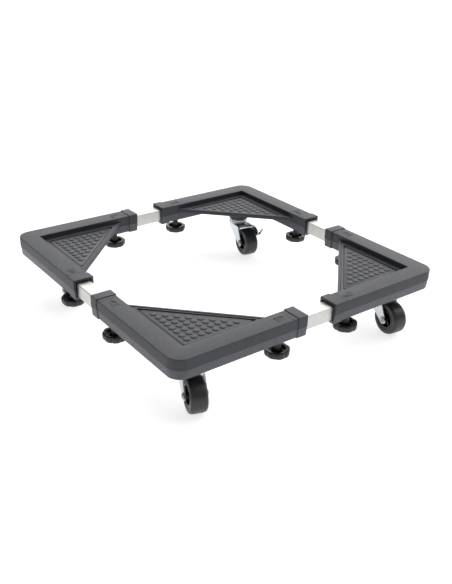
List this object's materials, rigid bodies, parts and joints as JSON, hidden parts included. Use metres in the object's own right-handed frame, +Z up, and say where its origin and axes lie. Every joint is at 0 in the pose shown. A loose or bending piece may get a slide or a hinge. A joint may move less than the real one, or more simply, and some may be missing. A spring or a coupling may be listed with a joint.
{
  "type": "adjustable wheeled appliance base",
  "caption": "Square wheeled base for an appliance: moulded corners with sunk treaded gussets, telescoping square tubes, swivel casters and screw feet.",
  "frame": {"origin": "centre of the base's outline on the floor that the wheels stand on", "axes": "+Z up; +X and +Y along the two adjustable directions, with the front corner at -X, -Y"},
  "size_m": [0.4978, 0.4978, 0.105],
  "materials": {
    "moulding": "satin, finely textured",
    "stainless": "bright satin",
    "zinc_plate": "bright zinc plate",
    "steel": "plain",
    "tyre": "matt",
    "wheel_centre": "satin",
    "knob_plastic": "satin"
  },
  "bodies": {
    "front": {"front_corner": "moulding", "front_caster_stem": "zinc_plate", "front_foot_1_nut": "steel", "front_foot_2_nut": "steel"},
    "right": {"right_corner": "moulding", "right_caster_stem": "zinc_plate", "right_foot_1_nut": "steel", "right_foot_2_nut": "steel"},
    "back": {"back_corner": "moulding", "back_caster_stem": "zinc_plate", "back_foot_1_nut": "steel", "back_foot_2_nut": "steel"},
    "left": {"left_corner": "moulding", "left_caster_stem": "zinc_plate", "left_foot_1_nut": "steel", "left_foot_2_nut": "steel"},
    "front_slider": {"front_tube": "stainless"},
    "right_slider": {"right_tube": "stainless"},
    "back_slider": {"back_tube": "stainless"},
    "left_slider": {"left_tube": "stainless"},
    "front_swivel": {"front_caster_fork": "zinc_plate", "front_caster_axle": "steel"},
    "front_wheel": {"front_caster_hub": "wheel_centre", "front_caster_tyre": "tyre"},
    "front_foot_1": {"front_foot_1_stud": "steel"},
    "front_foot_1_hand": {"front_foot_1_knob": "knob_plastic"},
    "front_foot_2": {"front_foot_2_stud": "steel"},
    "front_foot_2_hand": {"front_foot_2_knob": "knob_plastic"},
    "right_swivel": {"right_caster_fork": "zinc_plate", "right_caster_axle": "steel"},
    "right_wheel": {"right_caster_hub": "wheel_centre", "right_caster_tyre": "tyre"},
    "right_foot_1": {"right_foot_1_stud": "steel"},
    "right_foot_1_hand": {"right_foot_1_knob": "knob_plastic"},
    "right_foot_2": {"right_foot_2_stud": "steel"},
    "right_foot_2_hand": {"right_foot_2_knob": "knob_plastic"},
    "back_swivel": {"back_caster_fork": "zinc_plate", "back_caster_axle": "steel", "back_caster_brake_rivet": "steel"},
    "back_wheel": {"back_caster_hub": "wheel_centre", "back_caster_tyre": "tyre"},
    "back_brake": {"back_caster_brake_lever": "zinc_plate"},
    "back_foot_1": {"back_foot_1_stud": "steel"},
    "back_foot_1_hand": {"back_foot_1_knob": "knob_plastic"},
    "back_foot_2": {"back_foot_2_stud": "steel"},
    "back_foot_2_hand": {"back_foot_2_knob": "knob_plastic"},
    "left_swivel": {"left_caster_fork": "zinc_plate", "left_caster_axle": "steel"},
    "left_wheel": {"left_caster_hub": "wheel_centre", "left_caster_tyre": "tyre"},
    "left_foot_1": {"left_foot_1_stud": "steel"},
    "left_foot_1_hand": {"left_foot_1_knob": "knob_plastic"},
    "left_foot_2": {"left_foot_2_stud": "steel"},
    "left_foot_2_hand": {"left_foot_2_knob": "knob_plastic"}
  },
  "joints": [
    {"name": "width_slide", "type": "slide", "parent": "front", "child": "right", "axis": [1, 0, 0], "range_m": [-0.052, 0.2]},
    {"name": "depth_slide", "type": "slide", "parent": "front", "child": "left", "axis": [0, 1, 0], "range_m": [-0.052, 0.2]},
    {"name": "back_depth_slide", "type": "slide", "parent": "right", "child": "back", "axis": [0, 1, 0], "range_m": [-0.052, 0.2]},
    {"name": "front_tube_slide", "type": "slide", "parent": "front", "child": "front_slider", "axis": [1, 0, 0], "range_m": [-0.026, 0.1]},
    {"name": "left_tube_slide", "type": "slide", "parent": "front", "child": "left_slider", "axis": [0, 1, 0], "range_m": [-0.026, 0.1]},
    {"name": "right_tube_slide", "type": "slide", "parent": "right", "child": "right_slider", "axis": [0, 1, 0], "range_m": [-0.026, 0.1]},
    {"name": "back_tube_slide", "type": "slide", "parent": "left", "child": "back_slider", "axis": [1, 0, 0], "range_m": [-0.026, 0.1]},
    {"name": "front_caster_swivel", "type": "hinge", "parent": "front", "child": "front_swivel", "pos_m": [-0.186, -0.186, 0.0573], "axis": [0, 0, 1], "continuous": true},
    {"name": "front_wheel_spin", "type": "hinge", "parent": "front_swivel", "child": "front_wheel", "pos_m": [-0.19788, -0.22051, 0.026], "axis": [0.9455, -0.3256, 0], "continuous": true},
    {"name": "right_caster_swivel", "type": "hinge", "parent": "right", "child": "right_swivel", "pos_m": [0.186, -0.186, 0.0573], "axis": [0, 0, 1], "continuous": true},
    {"name": "right_wheel_spin", "type": "hinge", "parent": "right_swivel", "child": "right_wheel", "pos_m": [0.18092, -0.22215, 0.026], "axis": [0.9903, -0.1392, 0], "continuous": true},
    {"name": "back_caster_swivel", "type": "hinge", "parent": "back", "child": "back_swivel", "pos_m": [0.186, 0.186, 0.0573], "axis": [0, 0, 1], "continuous": true},
    {"name": "back_wheel_spin", "type": "hinge", "parent": "back_swivel", "child": "back_wheel", "pos_m": [0.17966, 0.15005, 0.026], "axis": [0.9848, -0.1736, 0], "continuous": true},
    {"name": "back_brake_press", "type": "hinge", "parent": "back_swivel", "child": "back_brake", "pos_m": [0.18235, 0.16532, 0.048], "axis": [0.9848, -0.1736, 0], "range_deg": [0, 5]},
    {"name": "left_caster_swivel", "type": "hinge", "parent": "left", "child": "left_swivel", "pos_m": [-0.186, 0.186, 0.0573], "axis": [0, 0, 1], "continuous": true},
    {"name": "left_wheel_spin", "type": "hinge", "parent": "left_swivel", "child": "left_wheel", "pos_m": [-0.19234, 0.15005, 0.026], "axis": [0.9848, -0.1736, 0], "continuous": true},
    {"name": "front_foot_1_travel", "type": "slide", "parent": "front", "child": "front_foot_1", "axis": [0, 0, -1], "range_m": [0, 0.018]},
    {"name": "front_foot_1_turn", "type": "hinge", "parent": "front_foot_1", "child": "front_foot_1_hand", "pos_m": [-0.0665, -0.23075, 0.053], "axis": [0, 0, -1], "range_deg": [0, 6479]},
    {"name": "front_foot_2_travel", "type": "slide", "parent": "front", "child": "front_foot_2", "axis": [0, 0, -1], "range_m": [0, 0.018]},
    {"name": "front_foot_2_turn", "type": "hinge", "parent": "front_foot_2", "child": "front_foot_2_hand", "pos_m": [-0.23075, -0.0665, 0.053], "axis": [0, 0, -1], "range_deg": [0, 6479]},
    {"name": "right_foot_1_travel", "type": "slide", "parent": "right", "child": "right_foot_1", "axis": [0, 0, -1], "range_m": [0, 0.018]},
    {"name": "right_foot_1_turn", "type": "hinge", "parent": "right_foot_1", "child": "right_foot_1_hand", "pos_m": [0.23075, -0.0665, 0.053], "axis": [0, 0, -1], "range_deg": [0, 6479]},
    {"name": "right_foot_2_travel", "type": "slide", "parent": "right", "child": "right_foot_2", "axis": [0, 0, -1], "range_m": [0, 0.018]},
    {"name": "right_foot_2_turn", "type": "hinge", "parent": "right_foot_2", "child": "right_foot_2_hand", "pos_m": [0.0665, -0.23075, 0.053], "axis": [0, 0, -1], "range_deg": [0, 6479]},
    {"name": "back_foot_1_travel", "type": "slide", "parent": "back", "child": "back_foot_1", "axis": [0, 0, -1], "range_m": [0, 0.018]},
    {"name": "back_foot_1_turn", "type": "hinge", "parent": "back_foot_1", "child": "back_foot_1_hand", "pos_m": [0.0665, 0.23075, 0.053], "axis": [0, 0, -1], "range_deg": [0, 6479]},
    {"name": "back_foot_2_travel", "type": "slide", "parent": "back", "child": "back_foot_2", "axis": [0, 0, -1], "range_m": [0, 0.018]},
    {"name": "back_foot_2_turn", "type": "hinge", "parent": "back_foot_2", "child": "back_foot_2_hand", "pos_m": [0.23075, 0.0665, 0.053], "axis": [0, 0, -1], "range_deg": [0, 6479]},
    {"name": "left_foot_1_travel", "type": "slide", "parent": "left", "child": "left_foot_1", "axis": [0, 0, -1], "range_m": [0, 0.018]},
    {"name": "left_foot_1_turn", "type": "hinge", "parent": "left_foot_1", "child": "left_foot_1_hand", "pos_m": [-0.23075, 0.0665, 0.053], "axis": [0, 0, -1], "range_deg": [0, 6479]},
    {"name": "left_foot_2_travel", "type": "slide", "parent": "left", "child": "left_foot_2", "axis": [0, 0, -1], "range_m": [0, 0.018]},
    {"name": "left_foot_2_turn", "type": "hinge", "parent": "left_foot_2", "child": "left_foot_2_hand", "pos_m": [-0.0665, 0.23075, 0.053], "axis": [0, 0, -1], "range_deg": [0, 6479]}
  ],
  "couplings": [
    {"joint": "back_depth_slide", "follows": "depth_slide", "ratio": 1},
    {"joint": "front_tube_slide", "follows": "width_slide", "ratio": 0.5},
    {"joint": "back_tube_slide", "follows": "width_slide", "ratio": 0.5},
    {"joint": "left_tube_slide", "follows": "depth_slide", "ratio": 0.5},
    {"joint": "right_tube_slide", "follows": "depth_slide", "ratio": 0.5},
    {"joint": "front_foot_1_travel", "follows": "front_foot_1_turn", "m_per_rad": 0.00015915},
    {"joint": "front_foot_2_travel", "follows": "front_foot_2_turn", "m_per_rad": 0.00015915},
    {"joint": "right_foot_1_travel", "follows": "right_foot_1_turn", "m_per_rad": 0.00015915},
    {"joint": "right_foot_2_travel", "follows": "right_foot_2_turn", "m_per_rad": 0.00015915},
    {"joint": "back_foot_1_travel", "follows": "back_foot_1_turn", "m_per_rad": 0.00015915},
    {"joint": "back_foot_2_travel", "follows": "back_foot_2_turn", "m_per_rad": 0.00015915},
    {"joint": "left_foot_1_travel", "follows": "left_foot_1_turn", "m_per_rad": 0.00015915},
    {"joint": "left_foot_2_travel", "follows": "left_foot_2_turn", "m_per_rad": 0.00015915}
  ]
}
